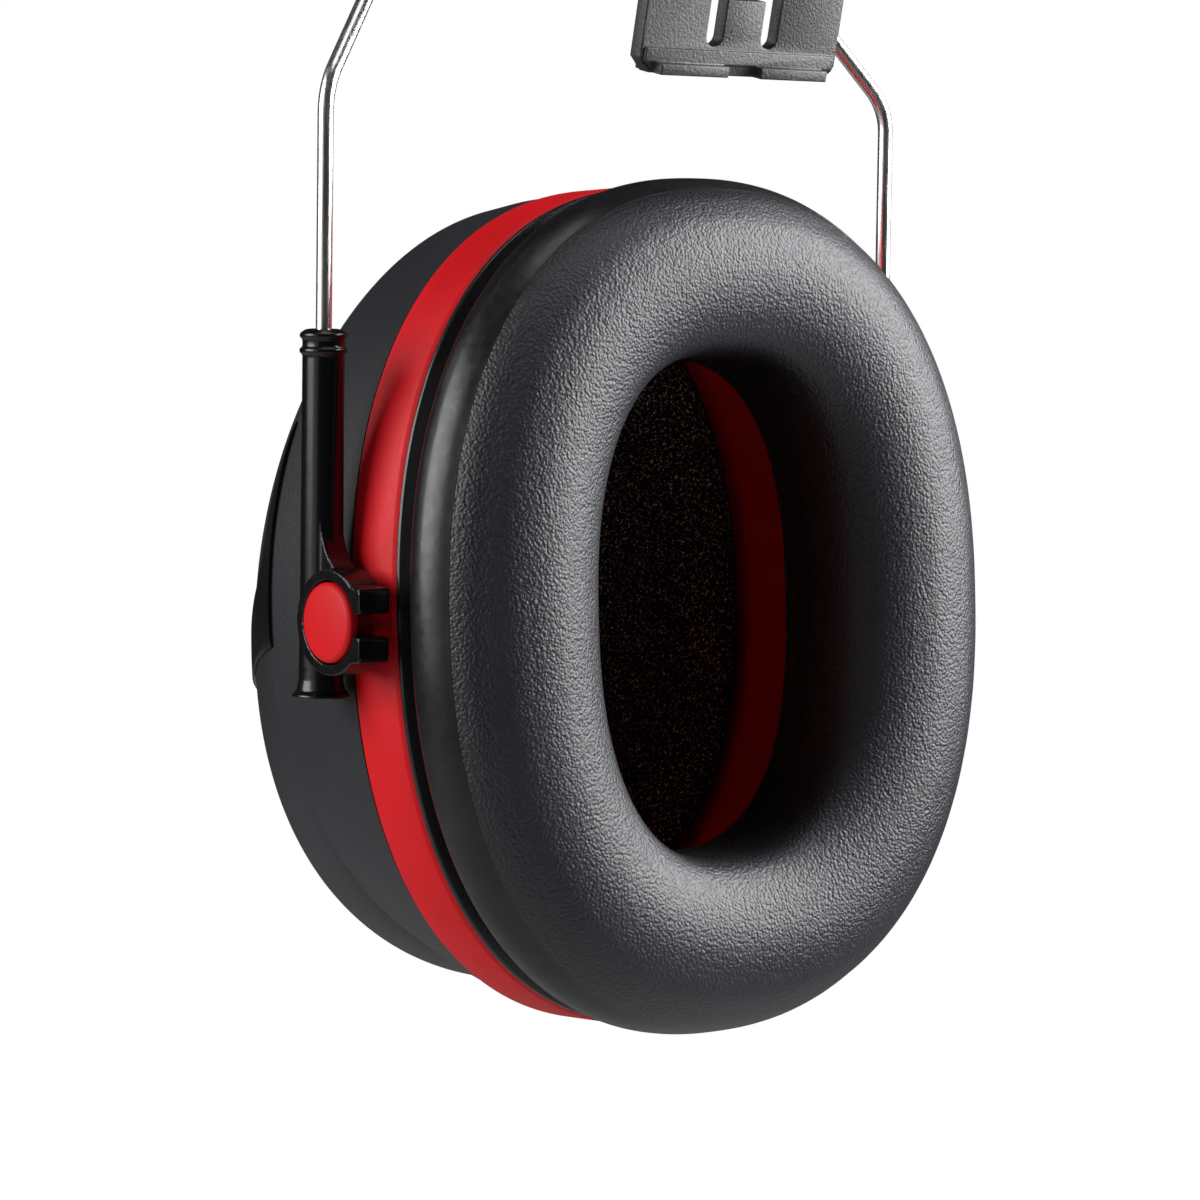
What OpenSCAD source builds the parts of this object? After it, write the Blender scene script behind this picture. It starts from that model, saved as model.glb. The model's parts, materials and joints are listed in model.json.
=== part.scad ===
// Helmet-mounted earmuff: one cup on its wire yoke, with the arm that plugs into a helmet slot.
// Millimetres, +Z up, +X along the cup's pivot axis, -Y towards the head.
// The origin is the middle of the blade's flat face, which lies against the helmet.

/* [Cup] */
// Half width of the red band
band_half_w = 44; // [43:0.25:44.2]
// Half height of the red band
band_half_h = 54.4; // [52:0.1:55]
// Depth of the red band along the cup axis
band_depth = 9; // [8:0.25:10]
// Roundness of the cup outline, where 2 is an ellipse
cup_power = 2.3; // [2.1:0.02:2.6]
// Distance from the pivot axis to the back of the outer casing
casing_back_y = 53.6; // [52:0.1:55]
// Distance from the pivot axis to the crease round the outer casing
crease_y = 23.5; // [22.5:0.1:24.5]
// Drop of the casing's deepest point below the pivot axis
casing_sag = 15.4; // [12:0.2:17]
// Lean of the cup on its pivots at rest, degrees
cup_lean = 3.3; // [0:0.1:6]

/* [Cushion] */
// Half width of the cushion at its widest
cushion_half_w = 46; // [45.5:0.1:46.5]
// Half height of the cushion at its widest
cushion_half_h = 55; // [54.5:0.1:56]
// Height of the cushion above its plate
cushion_depth = 16.3; // [15:0.1:18]
// Half width of the ear opening
opening_half_w = 21; // [19:0.5:23]
// Half height of the ear opening
opening_half_h = 32; // [30:0.5:34]
// Thickness of the cushion's covering
cover_t = 0.8; // [0.6:0.1:1.2]

/* [Wire yoke] */
// Diameter of the yoke wire
wire_d = 2; // [1.8:0.1:2.2]
// Distance between the two legs
leg_spacing = 95; // [94.5:0.1:95.5]
// Height of the leg bend above the pivot axis
bend_z = 66; // [64:0.5:68]
// Centre line radius of the leg bends
leg_bend_r = 9; // [6:0.5:11]
// Half width of the top bar's corners
bar_half_w = 14; // [13.5:0.25:15]
// Height of the hinge axis above the pivot axis
hinge_z = 109; // [108:0.5:110]
// Distance of the hinge axis outside the plane of the legs
hinge_y = 14.9; // [14.5:0.1:15.3]

/* [Sleeves] */
// Outside diameter of a sleeve's tube
sleeve_d = 5.3; // [5:0.1:5.6]
// Height of the sleeve's top above the pivot axis
sleeve_top = 36.1; // [34:0.5:38]
// Depth of the sleeve's foot below the pivot axis
sleeve_foot = 10; // [9:0.25:11]
// Outside radius of the clip round the pivot stud
clip_r = 6.6; // [6.2:0.1:6.8]
// Radius of the pivot stud's neck
stud_r = 3.4; // [3:0.1:3.6]
// Radius of the pivot stud's head
head_r = 5; // [4.8:0.1:5.1]

/* [Helmet arm] */
// Width of the blade that enters the helmet slot
blade_w = 32.7; // [31:0.1:33]
// Thickness of the blade
blade_t = 2; // [1.8:0.1:2.4]
// Length of the blade below its stop
blade_len = 30; // [28:0.5:31]
// Lean of the blade towards the head, degrees
blade_lean = 11.5; // [9:0.5:13]
// Half width of the arm between blade and hinge
arm_half_w = 12; // [11.8:0.1:12.4]

/* [Hidden] */
$fn = 48;
steps = 64;
clear = 0.05;
gap = 0.3;
wire_r = wire_d / 2;
leg_x = leg_spacing / 2;

// Pivot axis and blade stop, measured from the plane of the legs
pivot_y = -6.2;
stop_y = -27.9;
stop_z = 98;
face_y = stop_y - blade_t / 2 * cos(blade_lean) + blade_len / 2 * sin(blade_lean);
face_z = stop_z - blade_t / 2 * sin(blade_lean) - blade_len / 2 * cos(blade_lean);

// Levels along the cup axis, measured from the pivot axis
plate_t = 0.8;
band_front = 0.1 - band_depth / 2;
band_back = band_depth / 2;
cushion_base = band_front - plate_t - 0.2;
cushion_front = cushion_base - cushion_depth;
seal_t = 0.6;
casing_front = band_back + seal_t;
crease_half_w = band_half_w - 1.1;
crease_half_h = band_half_h - 1.1;
crease_low_h = band_half_h - 4.3;
casing_t = 1.8;
inner_floor = 34;
liner_front = 25;

// ---- frames of reference ----

module legs_frame() {
    translate([0, -face_y, -face_z]) children();
}

module blade_frame() {
    legs_frame() translate([0, stop_y, stop_z]) rotate([blade_lean, 0, 0]) children();
}

module cup_frame() {
    legs_frame() translate([0, pivot_y, 0]) rotate([-cup_lean, 0, 0]) children();
}

// ---- lofted ovals ----

function signed_pow(v, e) = sign(v) * pow(abs(v), e);

// One ring of the cup: half width, half height, level and roundness, then if needed its
// rise along Z and the half height below its middle
function oval(p) = [
    for (i = [0 : steps - 1])
        let (t = 360 * i / steps, e = 2 / p[3],
             low = is_undef(p[5]) ? p[1] : p[5], rise = is_undef(p[4]) ? 0 : p[4])
            [p[0] * signed_pow(cos(t), e), p[2],
             (t > 180 ? low : p[1]) * signed_pow(sin(t), e) + rise]
];

function oval_outline(half_w, half_h, power) = [
    for (q = oval([half_w, half_h, 0, power])) [q[0], q[2]]
];

// Skin over rings of points that all have the same count. Each ring turns clockwise seen
// from the next. A closed skin joins its last ring to its first.
module skin(rings, closed = false) {
    m = len(rings);
    n = len(rings[0]);
    links = closed ? m : m - 1;
    points = [for (ring = rings) each ring];
    sides = [
        for (j = [0 : links - 1], i = [0 : n - 1])
            let (a = j * n, b = (j + 1) % m * n, k = (i + 1) % n)
                each [[a + i, a + k, b + k], [a + i, b + k, b + i]]
    ];
    first_cap = [for (i = [n - 1 : -1 : 0]) i];
    last_cap = [for (i = [0 : n - 1]) (m - 1) * n + i];
    polyhedron(points, closed ? sides : concat(sides, [first_cap, last_cap]), convexity = 8);
}

module loft(profile, closed = false) {
    skin([for (p = profile) oval(p)], closed);
}

// Flat oval ring between two levels, with an oval hole
module oval_ring(y0, y1, half_w, half_h, hole_half_w, hole_half_h, hole_power) {
    translate([0, y1, 0]) rotate([90, 0, 0]) linear_extrude(y1 - y0) difference() {
        polygon(oval_outline(half_w, half_h, cup_power));
        polygon(oval_outline(hole_half_w, hole_half_h, hole_power));
    }
}

// ---- outer casing ----

dome_power = 2.1;
dome_levels = [0, 0.06, 0.16, 0.3, 0.46, 0.62, 0.77, 0.89, 0.97];

// Size of the dome at a fraction of its depth behind the crease
function dome_size(f) = pow(1 - pow(f, 1.5), 0.49);
// How far the crease curves forward at its top and bottom
function crease_bow(z) = -0.00136 * z * z;
function dome_rise(f) = -casing_sag * f;
function dome_level(f, z, inset) =
    crease_y + (casing_back_y - inset - crease_y) * f + crease_bow(z) * (1 - f);

function dome_ring(f, inset) = [
    for (q = oval([(crease_half_w - inset) * dome_size(f), (crease_half_h - inset) * dome_size(f),
                   0, dome_power, 0, (crease_low_h - inset) * dome_size(f)]))
        [q[0], dome_level(f, q[2], inset), q[2] + dome_rise(f)]
];

module outer_casing() {
    outside = concat(
        [oval([band_half_w - 0.3, band_half_h - 0.3, casing_front, cup_power])],
        [for (f = dome_levels) dome_ring(f, 0)]);
    inside = concat(
        [for (i = [len(dome_levels) - 1 : -1 : 0]) dome_ring(dome_levels[i], casing_t)],
        [oval([band_half_w - 2.6, band_half_h - 2.6, casing_front, cup_power])]);
    color("#3c3c41") cup_frame() skin(concat(inside, outside));
}

// Gloss wedges let into both flanks of the dome, from the crease to a point further back.
// Each entry: fraction of the dome's depth, lower edge and upper edge.
inlay_line = [
    [0, -4, 25], [0.03, -4.3, 19], [0.06, -4.6, 13], [0.085, -4.9, 8], [0.13, -5.4, 5],
    [0.2, -6.2, 2.5], [0.35, -8.5, -2.5], [0.5, -10.2, -7], [0.6, -11.2, -10.4]
];
inlay_t = 0.4;
inlay_lift = 0.25;
inlay_cells = 8;

// Point of the dome's flank at a depth fraction and height, pushed out by a lift
function flank_point(f, z, lift) =
    let (ring_z = z - dome_rise(f),
         half_h = ((ring_z < 0 ? crease_low_h : crease_half_h) + lift) * dome_size(f),
         x = (crease_half_w + lift) * dome_size(f)
             * pow(1 - pow(abs(ring_z) / half_h, dome_power), 1 / dome_power))
        [x, dome_level(f, ring_z, -lift), z];

function inlay_row(p, lift) = [
    for (k = [0 : inlay_cells]) flank_point(p[0], p[1] + (p[2] - p[1]) * k / inlay_cells, lift)
];

// The rows run round the wedge's section: out along its top sheet, back along its lower one
function inlay_section(p) =
    let (low = inlay_row(p, inlay_lift), high = inlay_row(p, inlay_lift + inlay_t))
        concat(high, [for (k = [inlay_cells : -1 : 0]) low[k]]);

module side_inlay() {
    skin([for (p = inlay_line) inlay_section(p)]);
}

module side_inlays() {
    color("#0c0c0e") cup_frame() {
        side_inlay();
        mirror([1, 0, 0]) side_inlay();
    }
}

module casing_seal() {
    color("#121214") cup_frame()
        oval_ring(band_back, casing_front, band_half_w - 0.7, band_half_h - 0.7,
                  band_half_w - 3, band_half_h - 3, cup_power);
}

// Soft pad between the floors of the two casings
module damping_layer() {
    profile = [
        [33.2, 39.6, inner_floor + 0.3, 2.15, -4.2], [32.6, 38.8, inner_floor + 1.5, 2.15, -4.6],
        [29.6, 35, inner_floor + 5, 2.15, -6.2], [25.8, 30.6, inner_floor + 7.5, 2.15, -7.4],
        [20.5, 24.5, inner_floor + 9.3, 2.1, -8.6]
    ];
    color("#5a5a52") cup_frame() loft(profile);
}

// ---- inner casing: bowl, red band and the two pivot studs in one moulding ----

module pivot_stud() {
    neck_end = 50;
    rim = 0.5;
    rotate([0, 90, 0]) {
        translate([0, 0, band_half_w - 2]) cylinder(h = neck_end - band_half_w + 2, r = stud_r);
        translate([0, 0, neck_end]) cylinder(h = 1, r = head_r);
        translate([0, 0, neck_end + 1]) cylinder(h = rim, r1 = head_r, r2 = head_r - rim);
    }
}

module inner_casing() {
    bevel = 0.6;
    profile = [
        [26, 34, inner_floor - 2, 2.2, -3], [32.2, 40.3, inner_floor - 3.6, 2.2, -2.5],
        [35.3, 43.8, inner_floor - 8, 2.25, -0.8], [37.2, 46, 18, 2.3],
        [39, 48, band_front, cup_power],
        [band_half_w - 0.4, band_half_h - 0.4, band_front, cup_power],
        [band_half_w, band_half_h, band_front + bevel, cup_power],
        [band_half_w, band_half_h, band_back, cup_power],
        [40.9, 49.9, band_back, cup_power],
        [38.8, 47.5, 16, 2.3], [37, 45.5, inner_floor - 8, 2.25, -0.8],
        [33.5, 41.6, inner_floor - 2, 2.2, -2.5], [27, 35, inner_floor, 2.2, -3]
    ];
    color("#c81e2c") cup_frame() union() {
        loft(profile);
        pivot_stud();
        mirror([1, 0, 0]) pivot_stud();
    }
}

module liner_foam() {
    profile = [
        [22, 30, liner_front + 2, 2.2], [30, 39, liner_front + 0.6, 2.2],
        [32, 41, liner_front - 4, 2.25], [35.2, 44.2, liner_front - 4, 2.25],
        [34.6, 43.1, liner_front + 1, 2.2, -0.8], [31.4, 39.5, inner_floor - 3.9, 2.2, -2.5],
        [24.5, 32.5, inner_floor - 2.3, 2.2, -3]
    ];
    color("#141414") cup_frame() loft(profile);
}

// ---- cushion ----

module cushion_plate() {
    color("#18181a") cup_frame()
        oval_ring(band_front - plate_t, band_front, band_half_w - 0.25, band_half_h - 0.25,
                  opening_half_w, opening_half_h, 2.5);
}

// Level of a point of the cushion, from 0 at its base to 1 at its front
function cushion_y(f) = cushion_base - cushion_depth * f;

// Outer line of the cushion: inset in width and height, height fraction and roundness
function cushion_ring(p, inset) =
    [cushion_half_w - p[0] - inset, cushion_half_h - p[1] - inset, cushion_y(p[2]), p[3]];
skirt_line = [
    [1.6, 1.5, 0.635, 2.25], [0.45, 0.4, 0.5, 2.25], [0, 0, 0.385, 2.25], [0.3, 0.3, 0.29, 2.26],
    [1.1, 1.1, 0.215, 2.27], [3, 2.8, 0.155, 2.28], [4.6, 4.2, 0.09, 2.29], [5, 4.6, 0, 2.29]
];
crown_line = [
    [14.6, 13.2, 1, 2.3], [12, 10.9, 1, 2.29], [9.6, 8.8, 0.992, 2.29], [7.3, 6.7, 0.963, 2.28],
    [5.5, 5.1, 0.912, 2.27], [4.1, 3.8, 0.838, 2.27], [2.9, 2.7, 0.757, 2.26], [2.15, 2, 0.7, 2.25]
];

module cushion_skirt() {
    outside = [for (p = skirt_line) cushion_ring(p, 0)];
    inside = [for (i = [len(skirt_line) - 1 : -1 : 0]) cushion_ring(skirt_line[i], cover_t)];
    color("#1b1b1d") cup_frame() loft(concat(outside, inside), closed = true);
}

module cushion_face() {
    w = opening_half_w;
    h = opening_half_h;
    t = cover_t;
    inner_wall = [
        [w, h, cushion_base, 2.5], [w + 0.3, h + 0.2, cushion_y(0.5), 2.5],
        [w + 1.1, h + 0.9, cushion_y(0.8), 2.5], [w + 3.6, h + 2.8, cushion_y(0.9), 2.45],
        [w + 7.5, h + 5.4, cushion_y(0.965), 2.4]
    ];
    inner_lining = [
        [w + 7.5, h + 5.4, cushion_y(0.965) + t, 2.4], [w + 4.1, h + 3.3, cushion_y(0.9) + t, 2.45],
        [w + 1.8, h + 1.6, cushion_y(0.8) + t, 2.5], [w + t + 0.3, h + t + 0.2, cushion_y(0.5), 2.5],
        [w + t, h + t, cushion_base, 2.5]
    ];
    crown = [for (p = crown_line) cushion_ring(p, 0)];
    crown_lining = [
        for (i = [len(crown_line) - 1 : -1 : 0])
            let (r = cushion_ring(crown_line[i], 0.6)) [r[0], r[1], r[2] + t, r[3]]
    ];
    color("#26262a") cup_frame()
        loft(concat(inner_wall, crown, crown_lining, inner_lining), closed = true);
}

// Soft ring inside the cushion between two height fractions
module cushion_core(low, high) {
    w = opening_half_w + 2.2;
    h = opening_half_h + 2;
    profile = [
        [w, h, cushion_y(low), 2.5], [w + 0.6, h + 0.6, cushion_y(high), 2.5],
        [cushion_half_w - 6.2, cushion_half_h - 5.8, cushion_y(high), 2.28],
        [cushion_half_w - 6.2, cushion_half_h - 5.8, cushion_y(low), 2.28]
    ];
    cup_frame() loft(profile, closed = true);
}

module cushion_foam() {
    color("#c9b98a") cushion_core(0.02, 0.4);
}

module cushion_fluid_pad() {
    color("#86a7b0") cushion_core(0.43, 0.74);
}

// ---- wire yoke ----

leg_corner = [leg_x, 0, bend_z];
bar_corner = [bar_half_w, hinge_y, hinge_z];
slant = (bar_corner - leg_corner) / norm(bar_corner - leg_corner);
bar_bend_r = 4;
wire_end_z = -7.4;

bend_steps = 8;
wire_sides = 16;
swept_r = 0.99 * wire_r;
rise = [0, 0, 1];
across = [-1, 0, 0];

function turn_angle(d_in, d_out) = acos(d_in * d_out);
function bend_reach(d_in, d_out, r) = r * tan(turn_angle(d_in, d_out) / 2);
leg_reach = bend_reach(rise, slant, leg_bend_r);
bar_reach = bend_reach(slant, across, bar_bend_r);
bar_end = bar_corner + bar_reach * across;

module rod(from, to, r) {
    v = to - from;
    translate(from) rotate([0, acos(v[2] / norm(v)), atan2(v[1], v[0])])
        cylinder(h = norm(v), r = r);
}

// Points round a bend at a corner, from one straight run into the next
function bend_points(corner, d_in, d_out, r) =
    let (turn = turn_angle(d_in, d_out),
         side = (d_out - (d_in * d_out) * d_in) / sin(turn),
         centre = corner - bend_reach(d_in, d_out, r) * d_in + r * side)
        [for (k = [0 : bend_steps]) let (a = turn * k / bend_steps)
            centre - r * cos(a) * side + r * sin(a) * d_in];

function unit(v) = v / norm(v);
function path_direction(path, i) =
    unit(path[min(i + 1, len(path) - 1)] - path[max(i - 1, 0)]);

// Ring of a swept wire round one point of its path
function wire_ring(path, i) =
    let (along = path_direction(path, i), out = unit(cross(along, [0, 1, 0])),
         up = cross(out, along))
        [for (k = [0 : wire_sides - 1]) let (a = 360 * k / wire_sides)
            path[i] + swept_r * (cos(a) * out + sin(a) * up)];

// One shoulder: leg bend, slanted run and bar bend, lapped into the leg and the bar
module yoke_shoulder() {
    lap = 1;
    start = leg_corner - (leg_reach + lap) * rise;
    end = bar_corner + (bar_reach + lap) * across;
    path = concat([start], bend_points(leg_corner, rise, slant, leg_bend_r),
                  bend_points(bar_corner, slant, across, bar_bend_r), [end]);
    skin([for (i = [0 : len(path) - 1]) wire_ring(path, i)]);
}

module yoke_half() {
    rod([leg_x, 0, wire_end_z], leg_corner - leg_reach * rise, wire_r);
    yoke_shoulder();
}

module wire_yoke() {
    color("#c9c6c2") legs_frame() union() {
        yoke_half();
        mirror([1, 0, 0]) yoke_half();
        rod(bar_end, [-bar_end[0], bar_end[1], bar_end[2]], wire_r);
    }
}

// Plastic cam pressed on the top bar, with a flat that the leaf spring rests on
cam_half_w = 6.9;
cam_r = 3.4;
cam_flat = 3.2;

module hinge_cam() {
    color("#2a2a2c") legs_frame() translate([0, hinge_y, hinge_z]) difference() {
        intersection() {
            rotate([0, 90, 0]) cylinder(h = 2 * cam_half_w, r = cam_r, center = true);
            cube([20, 20, 2 * cam_flat], center = true);
        }
        rotate([0, 90, 0]) cylinder(h = 20, r = wire_r, center = true);
    }
}

// Collars at the leg ends that keep the sleeves on the wire
stop_r = 1.45;

module leg_end_stops() {
    color("#b9b6b1") legs_frame() for (side = [-1, 1])
        translate([side * leg_x, 0, wire_end_z]) difference() {
            cylinder(h = 2, r = stop_r);
            translate([0, 0, -1]) cylinder(h = 4, r = wire_r);
        }
}

// ---- sleeves ----

guide_len = 12;

module sleeve_tube() {
    r = sleeve_d / 2;
    foot = -sleeve_foot;
    rotate_extrude() polygon([
        [0, foot], [r + 0.8, foot], [r + 0.9, foot + 0.3], [r + 0.3, foot + 0.9],
        [r + 0.05, foot + 2], [r, sleeve_top - 3.2], [r, sleeve_top - 0.5],
        [r - 0.5, sleeve_top], [0, sleeve_top]
    ]);
    for (drop = [0.8, 2.7]) translate([0, 0, sleeve_top - drop])
        rotate_extrude() translate([r, 0]) circle(0.35);
}

// Concave web that runs from the tube out to the top of the clip
module clip_web() {
    reach = 7.2;
    rise = 7;
    width = 3.4;
    translate([-width / 2, 0, 0]) rotate([90, 0, 90]) linear_extrude(width) difference() {
        polygon([[0, 0], [0, 5 + rise], [-sleeve_d / 2, 5 + rise], [-reach, 5.4], [-reach, 0]]);
        translate([-sleeve_d / 2 - rise, 5 + rise]) circle(rise);
    }
}

// Sleeve for the +X leg. The other sleeve is its mirror image.
module sleeve() {
    tube_x = leg_x;
    clip_in = 46.4;
    clip_out = 51;
    recess = 1.3;
    jaw_gap = 2.8;
    difference() {
        union() {
            translate([tube_x, 0, 0]) sleeve_tube();
            translate([clip_in, pivot_y, 0]) rotate([0, 90, 0])
                cylinder(h = clip_out - clip_in, r = clip_r);
            translate([tube_x, 0, 0]) clip_web();
        }
        translate([clip_in - 1, pivot_y, 0]) rotate([0, 90, 0])
            cylinder(h = clip_out, r = stud_r + clear);
        translate([clip_out - recess, pivot_y, 0]) rotate([0, 90, 0])
            cylinder(h = clip_out, r = head_r + gap);
        translate([clip_in - 1, pivot_y - clip_r - 1, -jaw_gap / 2])
            cube([clip_out, clip_r + 1, jaw_gap]);
        translate([tube_x, 0, -sleeve_foot - 1]) cylinder(h = 100, r = wire_r + clear);
        translate([tube_x, 0, -sleeve_foot - 1])
            cylinder(h = sleeve_top - guide_len + sleeve_foot + 1, r = stop_r + 0.1);
    }
}

module left_sleeve() {
    color("#111113") legs_frame() mirror([1, 0, 0]) sleeve();
}

module right_sleeve() {
    color("#111113") legs_frame() sleeve();
}

// ---- helmet arm ----

tongue_half_w = 3.2;
slot_w = 2.7;
ledge_start = 2.7;
ledge_len = 11.2;

// Slot round the latch tongue, which is free at its upper end
module latch_slot(low, high) {
    middle = tongue_half_w + slot_w / 2;
    for (side = [-1, 1]) {
        translate([side * middle - slot_w / 2, -5, low]) cube([slot_w, 10, high - low]);
        for (z = [low, high]) translate([side * middle, 0, z]) rotate([90, 0, 0])
            cylinder(h = 10, r = slot_w / 2, center = true);
    }
    translate([-middle, -5, high - slot_w / 2]) cube([2 * middle, 10, slot_w]);
}

module helmet_blade() {
    half_w = blade_w / 2;
    half_t = blade_t / 2;
    tip = -blade_len;
    corner = 1.8;
    band_top = tip + 3.2;
    color("#3a3a3e") blade_frame() {
        difference() {
            union() {
                translate([0, half_t, 0]) rotate([90, 0, 0]) linear_extrude(blade_t)
                    polygon([[-half_w + corner, tip], [half_w - corner, tip],
                             [half_w, tip + corner], [half_w, 0], [-half_w, 0],
                             [-half_w, tip + corner]]);
                translate([-half_w + 0.6, -half_t - 0.4, tip + 1.4])
                    cube([blade_w - 1.2, 0.6, band_top - tip - 1.4]);
            }
            latch_slot(tip + 5, tip + 11);
        }
        for (side = [-1, 1]) translate([side * (ledge_len / 2 + ledge_start), 0, tip + 0.7])
            cube([ledge_len, blade_t + 3.2, 1.4], center = true);
    }
}

spring_half_w = 4.5;
spring_t = 0.6;
spring_z = hinge_z + cam_r + 0.1;
cover_z = hinge_z + 5.2;
cover_t_arm = 1.6;
screw_y = -19;
screw_x = 8.5;

module arm_body() {
    knuckle_r = 4.6;
    root_t = 9;
    color("#2c2c30") {
        blade_frame() translate([-blade_w / 2, -4, 0]) cube([blade_w, root_t, 8]);
        legs_frame() difference() {
            translate([-arm_half_w, 0, 0]) rotate([90, 0, 90]) linear_extrude(2 * arm_half_w)
                union() {
                    polygon([[-31.5, 100], [-24, 100.5], [-17, 103], [6, 104.2],
                             [hinge_y, hinge_z - knuckle_r], [hinge_y, cover_z],
                             [-25, cover_z], [-32.5, 107]]);
                    translate([hinge_y, hinge_z]) circle(knuckle_r);
                }
            translate([-cam_half_w - gap, hinge_y - 6, hinge_z - 8])
                cube([2 * (cam_half_w + gap), 20, 20]);
            translate([-spring_half_w - gap, -16, spring_z - 0.1])
                cube([2 * (spring_half_w + gap), 40, 10]);
            translate([0, hinge_y, hinge_z]) rotate([0, 90, 0])
                cylinder(h = 60, r = wire_r + clear, center = true);
            translate([-30, hinge_y - 0.85, hinge_z]) cube([60, 1.7, 10]);
            for (side = [-1, 1]) {
                translate([side * 16.2, hinge_y, hinge_z]) cube([10, 12, 30], center = true);
                translate([side * screw_x, screw_y, cover_z - 6]) cylinder(h = 10, r = 1.2);
            }
        }
    }
}

module arm_cover() {
    color("#242427") legs_frame() difference() {
        translate([-arm_half_w, -24.5, cover_z + 0.02])
            cube([2 * arm_half_w, hinge_y + 28, cover_t_arm]);
        for (side = [-1, 1])
            translate([side * screw_x, screw_y, cover_z - 1]) cylinder(h = 10, r = 1.3);
    }
}

module cover_screws() {
    color("#8d8d90") legs_frame() for (side = [-1, 1])
        translate([side * screw_x, screw_y, 0]) difference() {
            union() {
                translate([0, 0, cover_z - 5.5]) cylinder(h = 6 + cover_t_arm, r = 1.2);
                translate([0, 0, cover_z + cover_t_arm + 0.02]) cylinder(h = 1, r = 2.2);
            }
            translate([-3, -0.3, cover_z + cover_t_arm + 0.5]) cube([6, 0.6, 2]);
        }
}

module leaf_spring() {
    color("#d0d0d0") legs_frame()
        translate([-spring_half_w, -15.5, spring_z])
            cube([2 * spring_half_w, hinge_y + 17.5, spring_t]);
}

helmet_blade();
arm_body();
arm_cover();
cover_screws();
leaf_spring();
wire_yoke();
hinge_cam();
leg_end_stops();
left_sleeve();
right_sleeve();
outer_casing();
side_inlays();
casing_seal();
damping_layer();
inner_casing();
liner_foam();
cushion_plate();
cushion_foam();
cushion_fluid_pad();
cushion_skirt();
cushion_face();
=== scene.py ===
"""Looks of the helmet-mounted earmuff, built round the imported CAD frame. Sizes are in millimetres
until a mesh is made; every mesh is in metres in the frame's own axes."""
import json
import math

import bmesh
import bpy
import numpy as np
from mathutils import Matrix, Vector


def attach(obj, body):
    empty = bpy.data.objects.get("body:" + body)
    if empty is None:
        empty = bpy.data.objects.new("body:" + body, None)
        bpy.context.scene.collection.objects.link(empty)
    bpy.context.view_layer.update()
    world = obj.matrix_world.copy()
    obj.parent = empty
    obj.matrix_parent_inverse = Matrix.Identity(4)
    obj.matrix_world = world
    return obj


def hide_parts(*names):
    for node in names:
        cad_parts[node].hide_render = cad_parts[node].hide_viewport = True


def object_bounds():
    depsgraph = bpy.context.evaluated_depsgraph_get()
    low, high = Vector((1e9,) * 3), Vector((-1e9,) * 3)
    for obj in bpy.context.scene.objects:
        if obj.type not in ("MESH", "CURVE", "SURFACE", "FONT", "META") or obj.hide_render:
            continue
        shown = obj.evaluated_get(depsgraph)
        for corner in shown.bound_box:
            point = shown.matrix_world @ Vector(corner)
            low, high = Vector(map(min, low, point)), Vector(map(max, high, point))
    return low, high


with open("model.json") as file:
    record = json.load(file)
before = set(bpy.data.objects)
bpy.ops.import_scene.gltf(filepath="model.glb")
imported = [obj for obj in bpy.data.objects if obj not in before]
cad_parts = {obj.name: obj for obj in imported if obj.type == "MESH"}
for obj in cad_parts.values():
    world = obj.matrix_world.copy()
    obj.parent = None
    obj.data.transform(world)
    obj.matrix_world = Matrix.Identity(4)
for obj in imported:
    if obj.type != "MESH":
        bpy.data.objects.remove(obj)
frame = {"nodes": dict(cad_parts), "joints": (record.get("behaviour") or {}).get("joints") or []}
cad_low, cad_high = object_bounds()

MM = 0.001
JOINTS = {joint["name"]: joint for joint in frame["joints"]}
PIVOT = np.array(JOINTS["cup_tilt"]["pos_m"]) / MM
HINGE = np.array(JOINTS["arm_swing"]["pos_m"]) / MM

# Driving dimensions, as in the CAD
HINGE_Y = 14.9
HINGE_Z = 109.0
LEG_X = 47.5
BEND_Z = 66.0
BAR_X = 14.0
WIRE_R = 1.0
CUP_LEAN = math.radians(3.3)
BAND_W, BAND_H, BAND_POWER = 44.0, 54.4, 2.3
BAND_FRONT, BAND_BACK = -4.4, 4.5
PLATE_T = 0.8
CREASE_W, CREASE_H, CREASE_LOW_H, CREASE_Y = 42.9, 53.3, 50.1, 23.5
CASING_BACK, CASING_SAG, DOME_POWER = 53.6, 15.4, 2.1
DOME_FALL, DOME_SIZE_POWER, CREASE_BOW = 1.5, 0.49, 0.00136
CASING_T, SEAL_T = 1.8, 0.6
CUSHION_W, CUSHION_H = 46.0, 55.0
CUSHION_BASE, CUSHION_DEPTH = -5.4, 16.3
OPENING_W, OPENING_H, OPENING_POWER = 21.0, 32.0, 2.5
PIVOT_Y = -6.2
SLEEVE_TOP, SLEEVE_FOOT, SLEEVE_D = 36.1, -10.0, 5.3
CLIP_R, JAW = 6.6, 1.4
STUD_R, STUD_HOLE_R, STUD_HEAD_HOLE_R = 3.4, 3.45, 5.25
CLIP_IN, CLIP_STEP, CLIP_OUT = 46.4, 49.6, 51.0
LEG_PLANE = np.array([0.0, HINGE[1] - HINGE_Y, HINGE[2] - HINGE_Z])


# ---- frames of reference: each takes points in millimetres and gives points in the row frame ----

def in_legs_frame(points):
    return np.asarray(points, float) + LEG_PLANE


def turned_about_x(points, angle):
    p = np.asarray(points, float)
    c, s = math.cos(angle), math.sin(angle)
    return np.stack([p[..., 0], p[..., 1] * c - p[..., 2] * s, p[..., 1] * s + p[..., 2] * c], -1)


def in_cup_frame(points):
    return turned_about_x(points, -CUP_LEAN) + PIVOT


# ---- meshes ----

def new_object(name, mesh):
    piece = bpy.data.objects.new(name, mesh)
    bpy.context.scene.collection.objects.link(piece)
    return piece


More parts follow.
